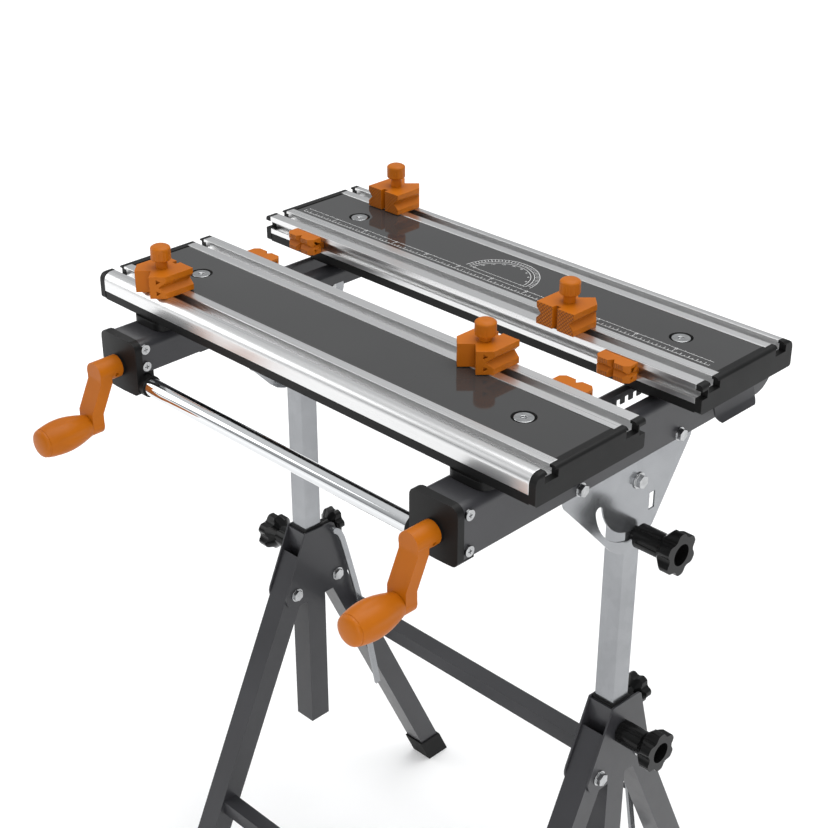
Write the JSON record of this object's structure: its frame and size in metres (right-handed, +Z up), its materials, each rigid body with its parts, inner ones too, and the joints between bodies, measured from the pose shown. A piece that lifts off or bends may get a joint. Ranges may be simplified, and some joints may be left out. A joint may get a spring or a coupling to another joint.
{
  "type": "folding workbench",
  "caption": "Folding workbench with slotted clamping jaws, crank-driven screws, bench dogs, a tilting and height-adjustable top and folding legs.",
  "frame": {"origin": "on the floor, at the middle of the bounding box in X and Y", "axes": "+X along the jaws to the right seen from the cranks, +Y from the cranks to the back, +Z up"},
  "size_m": [0.6462, 0.6274, 0.9523],
  "materials": {
    "paint": "gloss",
    "plate": "satin",
    "zinc": "satin",
    "alloy": "satin",
    "chrome": "polished",
    "panel": "gloss",
    "black": "matte",
    "orange": "satin",
    "rubber": "matte"
  },
  "bodies": {
    "base": {"sleeves": "paint", "brackets": "paint", "sleeve_guides": "black", "leg_pivot_bolts": "zinc"},
    "front_legs": {"front_leg_frame": "paint", "front_feet": "rubber"},
    "rear_legs": {"rear_leg_frame": "paint", "rear_feet": "rubber"},
    "stays": {"leg_stays": "plate"},
    "column": {"uprights": "plate", "pivot_bolts": "zinc"},
    "height_knob_l": {"height_knob_left": "black"},
    "height_knob_r": {"height_knob_right": "black"},
    "clamp_knob_l": {"clamp_knob_left": "black"},
    "clamp_knob_r": {"clamp_knob_right": "black"},
    "tilt_knob_l": {"tilt_knob_left": "black"},
    "tilt_knob_r": {"tilt_knob_right": "black"},
    "top": {"tilt_plates": "plate", "plate_bolts": "zinc", "beam_left": "paint", "beam_right": "paint", "beam_cap_left": "black", "beam_cap_right": "black", "cap_screws": "zinc", "tie_tube": "chrome"},
    "front_jaw": {"front_outer_rail": "alloy", "front_inner_rail": "alloy", "front_panel": "panel", "front_base": "black", "front_end_caps": "black", "front_panel_bolts": "zinc", "front_glides": "black"},
    "rear_jaw": {"rear_outer_rail": "alloy", "rear_inner_rail": "alloy", "rear_panel": "panel", "rear_base": "black", "rear_end_caps": "black", "rear_panel_bolts": "zinc", "rear_glides": "black"},
    "release_l": {"release_lever_left": "paint"},
    "release_r": {"release_lever_right": "paint"},
    "screw_l": {"lead_screw_left": "zinc", "crank_left": "orange"},
    "screw_r": {"lead_screw_right": "zinc", "crank_right": "orange"},
    "handle_l": {"grip_left": "orange"},
    "handle_r": {"grip_right": "orange"},
    "dog_front_left": {"dog_front_left": "orange"},
    "knob_front_left": {"dog_knob_front_left": "orange"},
    "dog_front_right": {"dog_front_right": "orange"},
    "knob_front_right": {"dog_knob_front_right": "orange"},
    "dog_rear_left": {"dog_rear_left": "orange"},
    "knob_rear_left": {"dog_knob_rear_left": "orange"},
    "dog_rear_right": {"dog_rear_right": "orange"},
    "knob_rear_right": {"dog_knob_rear_right": "orange"},
    "side_front_left": {"side_dog_front_left": "orange"},
    "side_front_right": {"side_dog_front_right": "orange"},
    "side_rear_left": {"side_dog_rear_left": "orange"},
    "side_rear_right": {"side_dog_rear_right": "orange"}
  },
  "joints": [
    {"name": "front_fold", "type": "hinge", "parent": "base", "child": "front_legs", "pos_m": [0, 0.02865, 0.418], "axis": [1, 0, 0], "range_deg": [0, 25]},
    {"name": "rear_fold", "type": "hinge", "parent": "base", "child": "rear_legs", "pos_m": [0, 0.09965, 0.418], "axis": [-1, 0, 0], "range_deg": [0, 25]},
    {"name": "stay_fold", "type": "hinge", "parent": "base", "child": "stays", "pos_m": [0, 0.08985, 0.492], "axis": [-1, 0, 0], "range_deg": [0, 15.3]},
    {"name": "height_slide", "type": "slide", "parent": "base", "child": "column", "axis": [0, 0, 1], "range_m": [-0.1, 0.06]},
    {"name": "tilt", "type": "hinge", "parent": "column", "child": "top", "pos_m": [0, 0.06415, 0.78], "axis": [1, 0, 0], "range_deg": [0, 70]},
    {"name": "crank_left_turn", "type": "hinge", "parent": "top", "child": "screw_l", "pos_m": [-0.2375, -0.16285, 0.8285], "axis": [0, 1, 0], "range_deg": [-2525, 2885]},
    {"name": "crank_right_turn", "type": "hinge", "parent": "top", "child": "screw_r", "pos_m": [0.2375, -0.16285, 0.8285], "axis": [0, 1, 0], "range_deg": [-2525, 2885]},
    {"name": "front_jaw_slide", "type": "slide", "parent": "top", "child": "front_jaw", "axis": [0, 1, 0], "range_m": [-0.028, 0.032]},
    {"name": "rear_jaw_slide", "type": "slide", "parent": "top", "child": "rear_jaw", "axis": [0, 1, 0], "range_m": [-0.016, 0.04]},
    {"name": "height_knob_left_turn", "type": "hinge", "parent": "base", "child": "height_knob_l", "pos_m": [-0.267, 0.06415, 0.463], "axis": [-1, 0, 0], "continuous": true},
    {"name": "clamp_knob_left_turn", "type": "hinge", "parent": "base", "child": "clamp_knob_l", "pos_m": [-0.249, 0.07915, 0.488], "axis": [0, 1, 0], "continuous": true},
    {"name": "tilt_knob_left_turn", "type": "hinge", "parent": "column", "child": "tilt_knob_l", "pos_m": [-0.264, 0.06415, 0.7176], "axis": [-1, 0, 0], "continuous": true},
    {"name": "release_lever_left_lift", "type": "hinge", "parent": "rear_jaw", "child": "release_l", "pos_m": [-0.271, 0.19715, 0.8645], "axis": [0, 1, 0], "range_deg": [0, 12]},
    {"name": "grip_left_spin", "type": "hinge", "parent": "screw_l", "child": "handle_l", "pos_m": [-0.2375, -0.26285, 0.7715], "axis": [0, 1, 0], "continuous": true},
    {"name": "height_knob_right_turn", "type": "hinge", "parent": "base", "child": "height_knob_r", "pos_m": [0.267, 0.06415, 0.463], "axis": [1, 0, 0], "continuous": true},
    {"name": "clamp_knob_right_turn", "type": "hinge", "parent": "base", "child": "clamp_knob_r", "pos_m": [0.249, 0.07915, 0.488], "axis": [0, 1, 0], "continuous": true},
    {"name": "tilt_knob_right_turn", "type": "hinge", "parent": "column", "child": "tilt_knob_r", "pos_m": [0.264, 0.06415, 0.7176], "axis": [1, 0, 0], "continuous": true},
    {"name": "release_lever_right_lift", "type": "hinge", "parent": "rear_jaw", "child": "release_r", "pos_m": [0.271, 0.19715, 0.8645], "axis": [0, -1, 0], "range_deg": [0, 12]},
    {"name": "grip_right_spin", "type": "hinge", "parent": "screw_r", "child": "handle_r", "pos_m": [0.2375, -0.26285, 0.7715], "axis": [0, 1, 0], "continuous": true},
    {"name": "dog_front_left_slide", "type": "slide", "parent": "front_jaw", "child": "dog_front_left", "axis": [1, 0, 0], "range_m": [-0.05, 0.5]},
    {"name": "dog_knob_front_left_turn", "type": "hinge", "parent": "dog_front_left", "child": "knob_front_left", "pos_m": [-0.232, -0.14155, 0.925], "axis": [0, 0, 1], "continuous": true},
    {"name": "dog_front_right_slide", "type": "slide", "parent": "front_jaw", "child": "dog_front_right", "axis": [1, 0, 0], "range_m": [-0.4, 0.14]},
    {"name": "dog_knob_front_right_turn", "type": "hinge", "parent": "dog_front_right", "child": "knob_front_right", "pos_m": [0.136, -0.02835, 0.925], "axis": [0, 0, 1], "continuous": true},
    {"name": "dog_rear_left_slide", "type": "slide", "parent": "rear_jaw", "child": "dog_rear_left", "axis": [1, 0, 0], "range_m": [-0.05, 0.5]},
    {"name": "dog_knob_rear_left_turn", "type": "hinge", "parent": "dog_rear_left", "child": "knob_rear_left", "pos_m": [-0.232, 0.21185, 0.925], "axis": [0, 0, 1], "continuous": true},
    {"name": "dog_rear_right_slide", "type": "slide", "parent": "rear_jaw", "child": "dog_rear_right", "axis": [1, 0, 0], "range_m": [-0.4, 0.14]},
    {"name": "dog_knob_rear_right_turn", "type": "hinge", "parent": "dog_rear_right", "child": "knob_rear_right", "pos_m": [0.136, 0.09865, 0.925], "axis": [0, 0, 1], "continuous": true},
    {"name": "side_dog_front_left_slide", "type": "slide", "parent": "front_jaw", "child": "side_front_left", "axis": [1, 0, 0], "range_m": [-0.04, 0.19]},
    {"name": "side_dog_front_right_slide", "type": "slide", "parent": "front_jaw", "child": "side_front_right", "axis": [1, 0, 0], "range_m": [-0.19, 0.04]},
    {"name": "side_dog_rear_left_slide", "type": "slide", "parent": "rear_jaw", "child": "side_rear_left", "axis": [1, 0, 0], "range_m": [-0.04, 0.19]},
    {"name": "side_dog_rear_right_slide", "type": "slide", "parent": "rear_jaw", "child": "side_rear_right", "axis": [1, 0, 0], "range_m": [-0.19, 0.04]}
  ],
  "couplings": [
    {"joint": "stay_fold", "follows": "rear_fold", "ratio": 0.6104},
    {"joint": "crank_left_turn", "follows": "front_jaw_slide", "rad_per_m": 1570.8},
    {"joint": "crank_right_turn", "follows": "front_jaw_slide", "rad_per_m": 1570.8}
  ]
}
